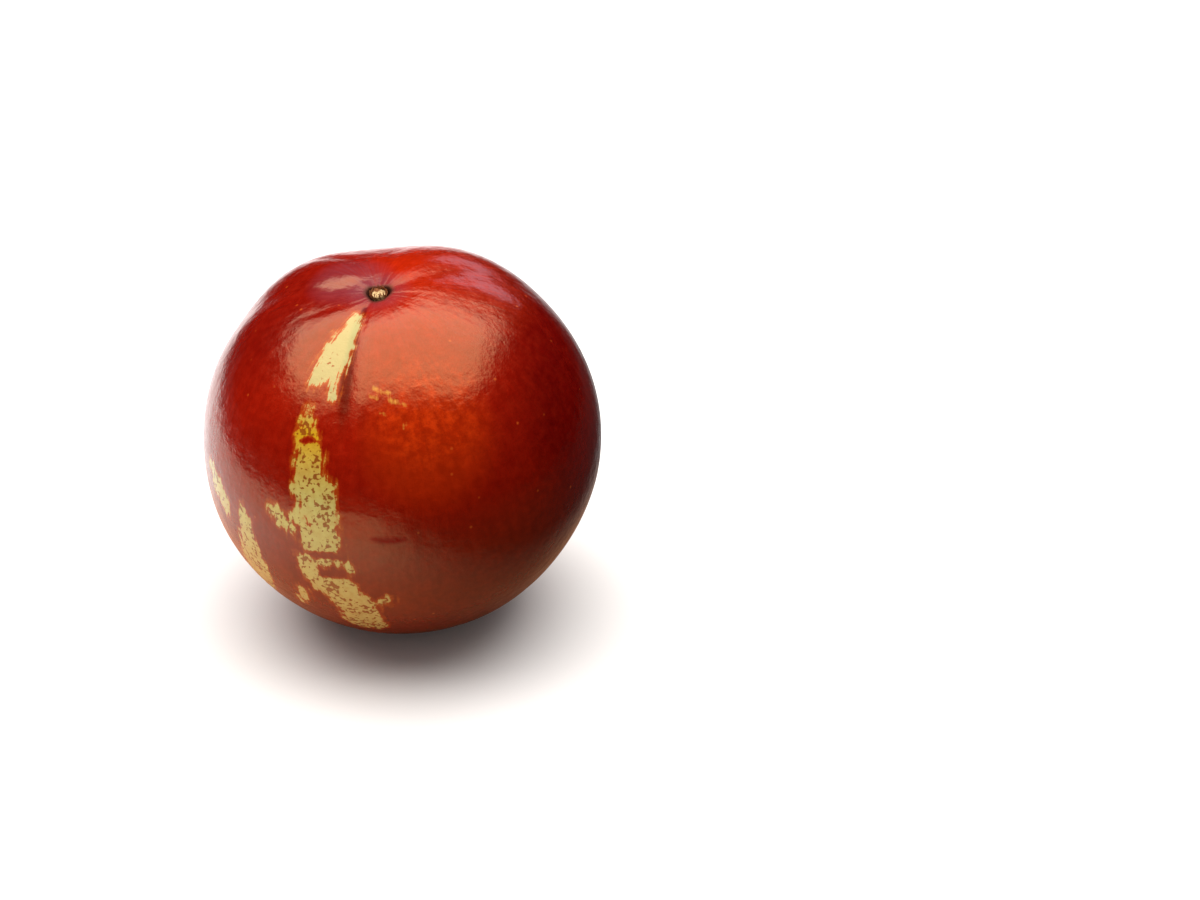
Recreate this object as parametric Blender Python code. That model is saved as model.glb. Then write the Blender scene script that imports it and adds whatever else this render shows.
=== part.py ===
"""One whole ripe jujube, standing on the small flat spot that its own weight rests on.

The fruit is one solid: a round form with shallow furrows, a bowl with a pit at the stem end and
a dimple at the blossom end. The broken stub of the stalk stands in the pit as a piece of its own.
The origin is the point of the flat spot under the middle of the fruit. +Z is up and -Y is the front.
"""

import math

import bmesh
import bpy
from mathutils import Euler, Vector

# Lengths are in metres and angles in degrees.
# A place on the fruit is an azimuth round the stem axis, where -90 faces the front, and a polar
# angle down from the stem end, where 0 is the pit and 180 the blossom end.

# The round form
ACROSS = 0.0399  # widest, at the fruit's waist
FLATTENING = 0.035  # how much less the fruit measures from end to end, as a share
TAPER = 0.014  # how much fuller the stem half is than the blossom half, as a share
CENTRE_HEIGHT = 0.0187  # from the surface that the fruit stands on to the form's centre
LEAN_FORWARD = 8.4  # how far the stem axis tips towards the front
LEAN_LEFT = 5.3  # and towards the left

# The full shoulder that rings the bowl
SHOULDER_HEIGHT = 0.00034
SHOULDER_POLAR = 43.0
SHOULDER_ANGLE = 18.0

# The bowl at the stem end, and the pit in its middle
BOWL_DEPTH = 0.00090
BOWL_ANGLE = 11.0
PIT_DEPTH = 0.00090
PIT_FLOOR_ANGLE = 2.5
PIT_RIM_ANGLE = 3.8
PIT_CORNERS = 3  # its rim is a rounded triangle
PIT_CORNER_TURN = 100.0
PIT_CORNER_REACH = 0.09  # as a share of the rim's angle

# The dimple at the blossom end, with the dry tip of the flower's style in it
HOLLOW_DEPTH = 0.00030
HOLLOW_ANGLE = 24.0
DIMPLE_DEPTH = 0.00060
DIMPLE_ANGLE = 5.5
STYLE_HEIGHT = 0.00035
STYLE_ANGLE = 1.6

# Shallow furrows that run down from the bowl: azimuth, depth and half-width
FURROWS = (
    (-116.0, 0.00060, 21.0),
    (24.0, 0.00052, 14.0),
    (92.0, 0.00105, 25.0),
    (158.0, 0.00042, 12.0),
)
FURROW_POLAR = 27.0  # where a furrow is deepest
FURROW_REACH = 30.0  # how far it carries on from there

# Places that grew out a little, or in where the height is negative: azimuth, polar angle,
# height and half-width
SWELLS = (
    (128.0, 46.0, 0.00034, 15.0),
    (-150.0, 62.0, 0.00012, 16.0),
    (62.0, 84.0, -0.00026, 24.0),
    (150.0, 110.0, -0.00022, 19.0),
    (-28.0, 118.0, -0.00020, 21.0),
    (-172.0, 84.0, -0.00014, 17.0),
    (5.0, 20.0, -0.00010, 7.0),
    (-6.0, 30.0, -0.00008, 7.5),
    (175.0, 14.0, -0.00034, 7.0),
)

# The broken stub of the stalk
STUB_RADIUS = 0.00084  # at the broken end, where the bark flares
STUB_HEIGHT = 0.00055
STUB_GAP = 0.00030  # between the stub and the floor of the pit
STUB_SLANT = 0.22  # rise of the broken end for each unit across it
STUB_DISH = 0.00016  # how far the pith has sunk inside the bark

# Facets
FRUIT_SEGMENTS = 72
FRUIT_RINGS = 46
POLE_CROWDING = 0.35  # how much closer the rings lie at the two ends, where the detail is
STUB_SEGMENTS = 18


def bell(distance, reach):
    """A smooth hump that is 1 in its middle and has nearly gone at twice its reach."""
    return math.exp(-((distance / reach) ** 2))


def smooth_step(low, high, value):
    """0 below low, 1 above high, and a smooth S between them."""
    share = min(1.0, max(0.0, (value - low) / (high - low)))
    return share * share * (3.0 - 2.0 * share)


def direction(polar, azimuth):
    """The unit vector of a place on the fruit, both angles in radians."""
    across = math.sin(polar)
    return Vector((across * math.cos(azimuth), across * math.sin(azimuth), math.cos(polar)))


def round_form(polar):
    """The turned form without its furrows: a slightly flat ball with a full shoulder."""
    along = math.cos(polar)
    across = math.sin(polar)
    ball = ACROSS / 2 * (1.0 - FLATTENING * along**2 + TAPER * along * across**2)
    return ball + SHOULDER_HEIGHT * bell(math.degrees(polar) - SHOULDER_POLAR, SHOULDER_ANGLE)


def stem_end(polar, azimuth):
    """What the bowl and the pit take away."""
    degrees = math.degrees(polar)
    bowl = BOWL_DEPTH * bell(degrees, BOWL_ANGLE)
    turn = PIT_CORNERS * azimuth + math.radians(PIT_CORNER_TURN)
    to_pit = degrees * (1.0 + PIT_CORNER_REACH * math.cos(turn))
    pit = PIT_DEPTH * (1.0 - smooth_step(PIT_FLOOR_ANGLE, PIT_RIM_ANGLE, to_pit))
    return bowl + pit


def blossom_end(polar):
    """What the dimple takes away, less the tip that stands in it."""
    degrees = 180.0 - math.degrees(polar)
    hollow = HOLLOW_DEPTH * bell(degrees, HOLLOW_ANGLE)
    dimple = DIMPLE_DEPTH * bell(degrees, DIMPLE_ANGLE)
    return hollow + dimple - STYLE_HEIGHT * bell(degrees, STYLE_ANGLE)


def furrows(polar, azimuth):
    """What the furrows take away. They fade out at the pit and at the waist."""
    along = bell(math.degrees(polar) - FURROW_POLAR, FURROW_REACH)
    depth = 0.0
    for middle, deepest, half_width in FURROWS:
        turn = math.degrees(azimuth) - middle
        turn = (turn + 180.0) % 360.0 - 180.0
        depth += deepest * bell(turn, half_width)
    return depth * along * math.sin(polar) ** 0.5


def swells(polar, azimuth):
    """What the swells add, and the dents among them take away."""
    here = direction(polar, azimuth)
    height = 0.0
    for middle, down, highest, half_width in SWELLS:
        there = direction(math.radians(down), math.radians(middle))
        height += highest * bell(math.degrees(here.angle(there)), half_width)
    return height


def surface_radius(polar, azimuth):
    """How far the skin lies from the form's centre."""
    taken = stem_end(polar, azimuth) + blossom_end(polar) + furrows(polar, azimuth)
    return round_form(polar) + swells(polar, azimuth) - taken


def plain_material(name, colour, roughness):
    """A Principled material with one linear colour."""
    material = bpy.data.materials.new(name)
    material.use_nodes = True
    shader = material.node_tree.nodes["Principled BSDF"]
    shader.inputs["Base Color"].default_value = (*colour, 1.0)
    shader.inputs["Roughness"].default_value = roughness
    material.diffuse_color = (*colour, 1.0)
    return material


def make_object(name, bm, material, parent):
    """Turns the finished bmesh into a smooth-shaded object on the stem axis."""
    mesh = bpy.data.meshes.new(name)
    bmesh.ops.recalc_face_normals(bm, faces=bm.faces)
    bm.to_mesh(mesh)
    bm.free()
    mesh.shade_smooth()
    mesh.set_sharp_from_angle(angle=math.radians(40.0))
    mesh.materials.append(material)
    made = bpy.data.objects.new(name, mesh)
    bpy.context.scene.collection.objects.link(made)
    made.parent = parent
    return made


def make_stem_axis():
    """An empty at the form's centre. Its Z axis is the fruit's stem axis, leaning as it rests."""
    axis = bpy.data.objects.new("stem_axis", None)
    axis.location = (0.0, 0.0, CENTRE_HEIGHT)
    axis.rotation_euler = Euler((math.radians(LEAN_FORWARD), -math.radians(LEAN_LEFT), 0.0), "XYZ")
    axis.empty_display_size = ACROSS / 4
    bpy.context.scene.collection.objects.link(axis)
    bpy.context.view_layer.update()
    return axis


def cut_flat_spot(bm, axis):
    """Takes off what would reach below the table, and closes the cut with one flat face."""
    into_axis = axis.matrix_world.inverted()
    on_table = into_axis @ Vector((0.0, 0.0, 0.0))
    upwards = into_axis.to_3x3() @ Vector((0.0, 0.0, 1.0))
    everything = bm.verts[:] + bm.edges[:] + bm.faces[:]
    bmesh.ops.bisect_plane(
        bm, geom=everything, plane_co=on_table, plane_no=upwards, clear_inner=True
    )
    rim = [edge for edge in bm.edges if edge.is_boundary]
    bmesh.ops.edgeloop_fill(bm, edges=rim)


def make_fruit(axis):
    """A ball whose points are moved out to the skin, then cut flat where it rests."""
    bm = bmesh.new()
    bmesh.ops.create_uvsphere(
        bm, u_segments=FRUIT_SEGMENTS, v_segments=FRUIT_RINGS, radius=1.0
    )
    for vert in bm.verts:
        even = math.acos(min(1.0, max(-1.0, vert.co.z)))
        polar = even - POLE_CROWDING * math.sin(2.0 * even)
        azimuth = math.atan2(vert.co.y, vert.co.x)
        vert.co = direction(polar, azimuth) * surface_radius(polar, azimuth)
    cut_flat_spot(bm, axis)
    skin = plain_material("ripe_skin", (0.35, 0.020, 0.004), 0.32)
    return make_object("fruit", bm, skin, axis)


def make_stalk_stub(axis):
    """A short turned peg with a slanting, dished end, where the stalk broke off."""
    foot = surface_radius(0.0, 0.0) + STUB_GAP
    top = foot + STUB_HEIGHT
    profile = (
        (0.0, foot),
        (STUB_RADIUS * 0.74, foot),
        (STUB_RADIUS * 0.84, foot + STUB_HEIGHT * 0.25),
        (STUB_RADIUS * 0.95, foot + STUB_HEIGHT * 0.65),
        (STUB_RADIUS, top),
        (STUB_RADIUS * 0.70, top - STUB_DISH * 0.3),
        (STUB_RADIUS * 0.45, top - STUB_DISH),
        (0.0, top - STUB_DISH),
    )
    bm = bmesh.new()
    points = [bm.verts.new((across, 0.0, height)) for across, height in profile]
    for first, second in zip(points, points[1:]):
        bm.edges.new((first, second))
    bmesh.ops.spin(
        bm,
        geom=bm.verts[:] + bm.edges[:],
        axis=(0.0, 0.0, 1.0),
        cent=(0.0, 0.0, 0.0),
        steps=STUB_SEGMENTS,
        angle=math.tau,
    )
    bmesh.ops.remove_doubles(bm, verts=bm.verts, dist=1e-6)
    for vert in bm.verts:
        raised = smooth_step(foot, top, vert.co.z)
        vert.co.z += raised * STUB_SLANT * vert.co.y
    bark = plain_material("dry_stalk", (0.33, 0.19, 0.075), 0.75)
    return make_object("stalk_stub", bm, bark, axis)


def main():
    for old in list(bpy.data.objects):
        bpy.data.objects.remove(old)
    axis = make_stem_axis()
    make_fruit(axis)
    make_stalk_stub(axis)


main()
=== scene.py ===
# %% [markdown]
# This script gives one ripe jujube its looks. A jujube is a fruit about 40 mm across with a thin waxy
# skin over crisp flesh. This one has turned mahogany red almost all over, with a few pale patches that
# haven't ripened yet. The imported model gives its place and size, and is loaded first as a fixed frame.

# %% Load the frame
import math

import bpy
import numpy as np
from mathutils import Euler, Matrix, Vector


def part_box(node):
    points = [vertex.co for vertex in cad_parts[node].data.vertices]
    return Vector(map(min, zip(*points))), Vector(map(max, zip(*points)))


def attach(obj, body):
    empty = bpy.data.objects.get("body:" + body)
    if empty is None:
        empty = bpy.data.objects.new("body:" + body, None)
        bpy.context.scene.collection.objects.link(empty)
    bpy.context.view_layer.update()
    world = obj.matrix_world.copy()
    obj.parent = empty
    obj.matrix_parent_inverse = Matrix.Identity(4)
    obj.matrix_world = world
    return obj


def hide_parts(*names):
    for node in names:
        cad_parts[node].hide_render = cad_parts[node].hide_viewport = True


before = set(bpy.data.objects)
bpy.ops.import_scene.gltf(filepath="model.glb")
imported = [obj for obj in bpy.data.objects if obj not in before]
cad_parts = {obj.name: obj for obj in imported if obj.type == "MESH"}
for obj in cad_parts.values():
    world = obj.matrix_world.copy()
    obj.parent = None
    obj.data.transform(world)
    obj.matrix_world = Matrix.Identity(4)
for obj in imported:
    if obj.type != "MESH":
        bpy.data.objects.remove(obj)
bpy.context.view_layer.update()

# %% [markdown]
# Two small helpers carry the whole script. Colours are written as sRGB hex, the way a colour picker
# shows them, but the renderer adds light, so it needs linear values. The second helper adds a node,
# sets it up and links it in one line, for Geometry Nodes and materials alike.

# %% Helpers for colours and nodes
MM = 0.001
MATH = "ShaderNodeMath"
VECTOR = "ShaderNodeVectorMath"
RAMP = "ShaderNodeMapRange"
SMOOTH = {"interpolation_type": "SMOOTHSTEP"}  # a ramp that starts and ends gently
NOISE = "ShaderNodeTexNoise"
MIX = "ShaderNodeMix"
WHITE = "#ffffff"


def linear(hex_colour):
    """An sRGB hex colour as linear red, green, blue and alpha."""
    shares = [int(hex_colour[i : i + 2], 16) / 255 for i in (1, 3, 5)]
    return [s / 12.92 if s <= 0.04045 else ((s + 0.055) / 1.055) ** 2.4 for s in shares] + [1.0]


def add(tree, kind, inputs=None, **settings):
    """Adds a node. An input is found by its number or name, and takes a value, a socket or a node."""
    node = tree.nodes.new(kind)
    for name, value in settings.items():
        setattr(node, name, value)
    for key, value in (inputs or {}).items():
        by_name = [s for s in node.inputs if s.enabled and s.name == key]
        socket = by_name[0] if by_name else node.inputs[key]
        if isinstance(value, bpy.types.Node):
            value = next(s for s in value.outputs if s.enabled)
        if isinstance(value, bpy.types.NodeSocket):
            tree.links.new(value, socket)
        else:
            socket.default_value = value
    return node


print("helpers ready, for example #921102 is", [round(c, 3) for c in linear("#921102")])

# %% [markdown]
# The fruit's form is a ball that follows a rule: a little flat from end to end, with a full shoulder
# round a bowl at the stem end, a pit with three rounded corners in the bowl, a dimple at the blossom
# end, and shallow furrows that run down from the bowl. It could be sculpted, but a rule can be read
# and changed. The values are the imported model's own, so that the fine skin lies exactly where that
# model has its surface.
# A place on the fruit is an azimuth round the stem axis, where -90 faces the front, and a polar angle
# down from the stem end, both in degrees.

# %% The fruit's driving sizes
ACROSS = 39.9 * MM
FLATTENING = 0.035
TAPER = 0.014
CENTRE_HEIGHT = 18.7 * MM
LEAN = (math.radians(8.4), math.radians(-5.3), 0.0)
SHOULDER = (43.0, 18.0, 0.34 * MM)  # polar angle, half-width and height
BOWL = (11.0, 0.90 * MM)  # half-width and depth
PIT = (2.5, 3.8, 0.90 * MM)  # angle of the floor, angle of the rim and depth
PIT_CORNERS = (3, math.radians(100.0), 0.09)  # how many, how they are turned, and how far they reach
BLOSSOM_END = ((24.0, -0.30 * MM), (5.5, -0.60 * MM), (1.6, 0.35 * MM))  # hollow, dimple, style tip
FURROWS = (  # azimuth, depth and half-width
    (-116.0, 0.60 * MM, 21.0),
    (24.0, 0.52 * MM, 14.0),
    (92.0, 1.05 * MM, 25.0),
    (158.0, 0.42 * MM, 12.0),
)
FURROW_ALONG = (27.0, 30.0)  # polar angle where a furrow is deepest, and how far it carries on
SWELLS = (  # azimuth, polar angle, height and half-width
    (128.0, 46.0, 0.34 * MM, 15.0),
    (-150.0, 62.0, 0.12 * MM, 16.0),
    (62.0, 84.0, -0.26 * MM, 24.0),
    (150.0, 110.0, -0.22 * MM, 19.0),
    (-28.0, 118.0, -0.20 * MM, 21.0),
    (-172.0, 84.0, -0.14 * MM, 17.0),
    (5.0, 20.0, -0.10 * MM, 7.0),
    (-6.0, 30.0, -0.08 * MM, 7.5),
    (175.0, 14.0, -0.34 * MM, 7.0),
)


def direction(azimuth, polar):
    """The unit vector of a place on the fruit, both angles in degrees."""
    turn, down = math.radians(azimuth), math.radians(polar)
    return Vector((math.sin(down) * math.cos(turn), math.sin(down) * math.sin(turn), math.cos(down)))


print(round(ACROSS / MM, 1), "mm across, with", len(FURROWS), "furrows and", len(SWELLS), "swells")

# %% [markdown]
# Every furrow, swell and hollow in the rule is the same smooth hump, so the hump is made once, as a
# node group with three inputs, and used many times.

# %% A node group for one smooth hump
bell = bpy.data.node_groups.new("Smooth hump", "GeometryNodeTree")
for label in ("Distance", "Half-width", "Height"):
    bell.interface.new_socket(label, in_out="INPUT", socket_type="NodeSocketFloat")
bell.interface.new_socket("Rise", in_out="OUTPUT", socket_type="NodeSocketFloat")
given = add(bell, "NodeGroupInput")
share = add(bell, MATH, {0: given.outputs["Distance"], 1: given.outputs["Half-width"]}, operation="DIVIDE")
square = add(bell, MATH, {0: share, 1: share}, operation="MULTIPLY")
falling = add(bell, MATH, {0: square, 1: -1.0}, operation="MULTIPLY")
hump = add(bell, MATH, {0: falling}, operation="EXPONENT")
rise = add(bell, MATH, {0: hump, 1: given.outputs["Height"]}, operation="MULTIPLY")
add(bell, "NodeGroupOutput", {"Rise": rise})
HUMP = "GeometryNodeGroup"
print("the hump has", len(bell.nodes), "nodes")

# %% [markdown]
# The tree starts from a UV sphere of radius 1, whose rings already run round the stem axis as the
# fruit's own lines of growth do. The rings are drawn closer together at the two ends, where the pit
# and the dimple need the detail. The named inputs are what a reader would want to change first.

# %% The body tree: inputs, and where each point lies on the fruit
body = bpy.data.node_groups.new("Jujube body", "GeometryNodeTree")
BODY_INPUTS = (
    ("Across", ACROSS),
    ("Flattening", FLATTENING),
    ("Taper", TAPER),
    ("Crease depth", 0.15 * MM),
    ("Waviness", 0.11 * MM),
    ("Crowding", 0.22),
    ("Segments", 384),
    ("Rings", 256),
)
for label, value in BODY_INPUTS:
    kind = "NodeSocketInt" if isinstance(value, int) else "NodeSocketFloat"
    body.interface.new_socket(label, in_out="INPUT", socket_type=kind)
body.interface.new_socket("Geometry", in_out="OUTPUT", socket_type="NodeSocketGeometry")
given = add(body, "NodeGroupInput").outputs

ball = add(
    body, "GeometryNodeMeshUVSphere", {"Segments": given["Segments"], "Rings": given["Rings"], "Radius": 1.0}
)
point = add(body, "GeometryNodeInputPosition")
x, y, z = add(body, "ShaderNodeSeparateXYZ", {0: point}).outputs
even = add(body, MATH, {0: z}, operation="ARCCOSINE")
twice = add(body, MATH, {0: even, 1: 2.0}, operation="MULTIPLY")
wave = add(body, MATH, {0: twice}, operation="SINE")
crowded = add(body, MATH, {0: wave, 1: given["Crowding"]}, operation="MULTIPLY")
polar = add(body, MATH, {0: even, 1: crowded}, operation="SUBTRACT")
azimuth = add(body, MATH, {0: y, 1: x}, operation="ARCTAN2")
polar_degrees = add(body, MATH, {0: polar}, operation="DEGREES")
azimuth_degrees = add(body, MATH, {0: azimuth}, operation="DEGREES")
along = add(body, MATH, {0: polar}, operation="COSINE")
across = add(body, MATH, {0: polar}, operation="SINE")
turn_x = add(body, MATH, {0: azimuth}, operation="COSINE")
turn_y = add(body, MATH, {0: azimuth}, operation="SINE")
turned = add(body, "ShaderNodeCombineXYZ", {0: turn_x, 1: turn_y})
outwards = add(body, VECTOR, {0: turned, "Scale": across}, operation="SCALE")
upwards = add(body, "ShaderNodeCombineXYZ", {2: along})
place = add(body, VECTOR, {0: outwards, 1: upwards}, operation="ADD")
print("the body tree starts with", len(body.nodes), "nodes")

# %% The body tree: the round form with its shoulder, bowl, pit and blossom end
square = add(body, MATH, {0: along, 1: along}, operation="MULTIPLY")
flat = add(body, MATH, {0: square, 1: given["Flattening"]}, operation="MULTIPLY")
round_share = add(body, MATH, {0: 1.0, 1: flat}, operation="SUBTRACT")
across_square = add(body, MATH, {0: 1.0, 1: square}, operation="SUBTRACT")
fuller = add(body, MATH, {0: across_square, 1: along}, operation="MULTIPLY")
tapered = add(body, MATH, {0: fuller, 1: given["Taper"], 2: round_share}, operation="MULTIPLY_ADD")
half = add(body, MATH, {0: given["Across"], 1: 0.5}, operation="MULTIPLY")
radius = add(body, MATH, {0: tapered, 1: half}, operation="MULTIPLY")
from_shoulder = add(body, MATH, {0: polar_degrees, 1: SHOULDER[0]}, operation="SUBTRACT")
from_blossom = add(body, MATH, {0: 180.0, 1: polar_degrees}, operation="SUBTRACT")
ends = [(from_shoulder, SHOULDER[1], SHOULDER[2]), (polar_degrees, BOWL[0], -BOWL[1])]
ends += [(from_blossom, half_width, height) for half_width, height in BLOSSOM_END]
for distance, half_width, height in ends:
    rise = add(body, HUMP, {"Distance": distance, "Half-width": half_width, "Height": height}, node_tree=bell)
    radius = add(body, MATH, {0: radius, 1: rise}, operation="ADD")
corners = add(body, MATH, {0: azimuth, 1: PIT_CORNERS[0], 2: PIT_CORNERS[1]}, operation="MULTIPLY_ADD")
corners = add(body, MATH, {0: corners}, operation="COSINE")
corners = add(body, MATH, {0: corners, 1: PIT_CORNERS[2], 2: 1.0}, operation="MULTIPLY_ADD")
to_pit = add(body, MATH, {0: polar_degrees, 1: corners}, operation="MULTIPLY")
pit = add(
    body,
    RAMP,
    {"Value": to_pit, "From Min": PIT[0], "From Max": PIT[1], "To Min": -PIT[2], "To Max": 0.0},
    **SMOOTH,
)
radius = add(body, MATH, {0: radius, 1: pit}, operation="ADD")
print("the round form has", len(ends), "humps round its two ends, and a pit")

# %% [markdown]
# Furrows are humps turned inwards. Each is measured round the fruit, so its angle is wrapped to stay
# between -180 and 180, and all of them fade along the fruit together. Swells are humps measured
# straight across the skin from their own middle.

# %% The body tree: furrows and swells
from_deepest = add(body, MATH, {0: polar_degrees, 1: FURROW_ALONG[0]}, operation="SUBTRACT")
fade = add(
    body, HUMP, {"Distance": from_deepest, "Half-width": FURROW_ALONG[1], "Height": 1.0}, node_tree=bell
)
narrowing = add(body, MATH, {0: across, 1: 0.5}, operation="POWER")
fade = add(body, MATH, {0: fade, 1: narrowing}, operation="MULTIPLY")
for middle, depth, half_width in FURROWS:
    turn = add(body, MATH, {0: azimuth_degrees, 1: middle}, operation="SUBTRACT")
    turn = add(body, MATH, {0: turn, 1: 180.0, 2: -180.0}, operation="WRAP")
    groove = add(body, HUMP, {"Distance": turn, "Half-width": half_width, "Height": -depth}, node_tree=bell)
    radius = add(body, MATH, {0: groove, 1: fade, 2: radius}, operation="MULTIPLY_ADD")
for middle, down, height, half_width in SWELLS:
    nearness = add(body, VECTOR, {0: place, 1: direction(middle, down)}, operation="DOT_PRODUCT")
    angle = add(body, MATH, {0: nearness}, operation="ARCCOSINE")
    angle = add(body, MATH, {0: angle}, operation="DEGREES")
    swell = add(body, HUMP, {"Distance": angle, "Half-width": half_width, "Height": height}, node_tree=bell)
    radius = add(body, MATH, {0: radius, 1: swell}, operation="ADD")
print("with furrows and swells the body tree has", len(body.nodes), "nodes")

# %% [markdown]
# Fresh jujube skin isn't as smooth as glass. Fine creases run down from the pit, because the skin is
# gathered there, and the whole surface waves by a few hundredths of a millimetre. Both are real
# geometry here, since they break up the edge of every reflection. They only ever take away, so the
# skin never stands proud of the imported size. The creases use noise that is read round the fruit,
# which draws them out along it.

# %% The body tree: creases round the pit and a slight waviness
CREASES_ROUND = 2.6  # noise cells in one radian round the fruit
WAVE_SIZE = 7.0 * MM
around = add(body, VECTOR, {0: turned, "Scale": CREASES_ROUND}, operation="SCALE")
down = add(body, "ShaderNodeCombineXYZ", {2: polar})
crease_place = add(body, VECTOR, {0: around, 1: down}, operation="ADD")
crease = add(body, NOISE, {"Vector": crease_place, "Scale": 1.0, "Detail": 2.0})
near_pit = add(
    body,
    RAMP,
    {"Value": polar_degrees, "From Min": 14.0, "From Max": 58.0, "To Min": 1.0, "To Max": 0.12},
    **SMOOTH,
)
crease = add(body, MATH, {0: crease, 1: near_pit}, operation="MULTIPLY")
crease = add(body, MATH, {0: crease, 1: given["Crease depth"]}, operation="MULTIPLY")
waves = add(
    body,
    NOISE,
    {"Vector": place, "Scale": ACROSS / 2 / WAVE_SIZE, "Detail": 4.0, "Roughness": 0.62},
)
waves = add(body, MATH, {0: waves, 1: given["Waviness"]}, operation="MULTIPLY")
radius = add(body, MATH, {0: radius, 1: crease}, operation="SUBTRACT")
radius = add(body, MATH, {0: radius, 1: waves}, operation="SUBTRACT")

# %% [markdown]
# Last, the points move out to their places, the fruit leans as it rests, and what would sink into the
# table is pressed flat, as the weight does. The material is set in the tree and the finished mesh is
# taken out of it, so that the piece is a plain mesh at the origin.

# %% The body tree: move the points, lean the fruit and make it flat where it rests
skin = bpy.data.materials.new("waxy_jujube_skin")
skin.use_nodes = True
offset = add(body, VECTOR, {0: place, "Scale": radius}, operation="SCALE")
shaped = add(body, "GeometryNodeSetPosition", {"Geometry": ball, "Position": offset})
leaning = add(
    body,
    "GeometryNodeTransform",
    {"Geometry": shaped, "Translation": (0.0, 0.0, CENTRE_HEIGHT), "Rotation": Euler(LEAN)},
)
place_now = add(body, "ShaderNodeSeparateXYZ", {0: add(body, "GeometryNodeInputPosition")}).outputs
above = add(body, MATH, {0: place_now[2], 1: 0.0}, operation="MAXIMUM")
resting = add(body, "ShaderNodeCombineXYZ", {0: place_now[0], 1: place_now[1], 2: above})
settled = add(body, "GeometryNodeSetPosition", {"Geometry": leaning, "Position": resting})
smooth = add(body, "GeometryNodeSetShadeSmooth", {"Geometry": settled, "Shade Smooth": True})
real = add(body, "GeometryNodeRealizeInstances", {"Geometry": smooth})
finished = add(body, "GeometryNodeSetMaterial", {"Geometry": real, "Material": skin})
add(body, "NodeGroupOutput", {"Geometry": finished})


def grow(name, tree, sizes):
    """Runs a tree with its inputs set, and returns the result as an object with a plain mesh."""
    made = bpy.data.objects.new(name, bpy.data.meshes.new(name))
    bpy.context.scene.collection.objects.link(made)
    shape = made.modifiers.new("Shape", "NODES")
    shape.node_group = tree
    for item in tree.interface.items_tree:
        if item.in_out == "INPUT":
            shape[item.identifier] = sizes[item.name]
    graph = bpy.context.evaluated_depsgraph_get()
    mesh = bpy.data.meshes.new_from_object(made.evaluated_get(graph), depsgraph=graph)
    made.modifiers.remove(shape)
    made.data = mesh
    mesh.name = name
    mesh.calc_loop_triangles()
    print(name, "has", len(mesh.loop_triangles), "triangles")
    return made


fruit_skin = grow("fruit_skin", body, dict(BODY_INPUTS))

# %% [markdown]
# The pale patches are where the skin hasn't turned yet, so they are only colour. Each is drawn as
# brush strokes on the fruit: places along the stroke, with the brush's half-width in millimetres at
# each. Thin strokes across a patch mark where the skin has turned red after all. Every point of the
# mesh stores how far it is from the nearest stroke's edge, and the material later turns that distance
# into a ragged edge. Painting an image would fix the patches to one size of picture, while a distance
# stays sharp at any size.

# %% Strokes for the pale patches, the scars and the small flecks
PATCHES = (  # azimuth, polar angle and half-width in millimetres, for each place along a stroke
    ((-118.5, 12.0, 0.25), (-116.6, 15.8, 0.60), (-117.3, 20.0, 0.98), (-117.8, 24.0, 1.22),
     (-117.2, 27.5, 1.40), (-117.3, 30.4, 1.50), (-119.6, 33.1, 1.15), (-121.8, 36.0, 0.50)),
    ((-114.2, 31.5, 0.80), (-112.8, 34.6, 0.48), (-111.5, 37.1, 0.30), (-110.6, 39.6, 0.10)),
    ((-119.3, 44.0, 0.15), (-119.0, 46.7, 0.60), (-118.4, 48.4, 0.52), (-117.5, 50.5, 0.98),
     (-117.2, 51.7, 1.00)),
    ((-115.9, 54.2, 1.15), (-115.0, 56.6, 1.50), (-114.5, 60.2, 1.60), (-113.8, 63.1, 1.75),
     (-111.6, 66.5, 1.84), (-111.4, 74.0, 2.00), (-111.4, 78.0, 2.00), (-111.0, 82.1, 1.90),
     (-111.3, 85.2, 1.50)),
    ((-119.8, 65.9, 0.30), (-117.6, 66.2, 0.60)),
    ((-126.0, 75.0, 0.55), (-123.5, 76.7, 0.90), (-120.6, 77.4, 1.15), (-117.0, 75.6, 0.95)),
    ((-107.9, 86.3, 0.60), (-104.0, 88.2, 0.55), (-102.4, 90.2, 0.30)),
    ((-117.0, 88.6, 0.55), (-115.2, 93.6, 0.80), (-112.4, 97.6, 1.15), (-107.5, 98.6, 1.80),
     (-105.6, 103.6, 1.95), (-103.5, 109.5, 1.80), (-104.0, 117.0, 2.00)),
    ((-101.5, 103.4, 0.70), (-98.4, 104.4, 0.60), (-94.5, 102.4, 0.50)),
    ((-120.1, 102.1, 0.50), (-121.8, 106.6, 0.55), (-123.3, 109.6, 0.40)),
    # on the left side
    ((-158.0, 77.0, 0.70), (-152.8, 80.3, 1.20), (-148.2, 83.0, 1.10), (-146.0, 86.0, 0.40)),
    ((-139.6, 78.6, 0.20), (-137.9, 83.5, 0.80), (-137.5, 90.5, 1.30), (-138.0, 98.8, 1.90),
     (-140.5, 107.8, 2.00), (-148.0, 116.0, 1.50)),
    # on the far side
    ((70.0, 66.0, 0.10), (73.0, 78.0, 0.70), (71.0, 92.0, 1.10), (76.0, 104.0, 0.80),
     (84.0, 112.0, 0.20)),
    ((84.0, 88.0, 0.10), (76.0, 92.0, 0.50)),
    ((14.0, 104.0, 0.20), (9.0, 112.0, 0.80), (12.0, 122.0, 1.10), (22.0, 130.0, 0.50)),
    ((165.0, 96.0, 0.10), (160.0, 104.0, 0.70), (162.0, 114.0, 0.50)),
)
TURNED_WEIGHT = 2.5  # counts the depth inside a turned line for more, so that the fraying can't fill it
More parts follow.
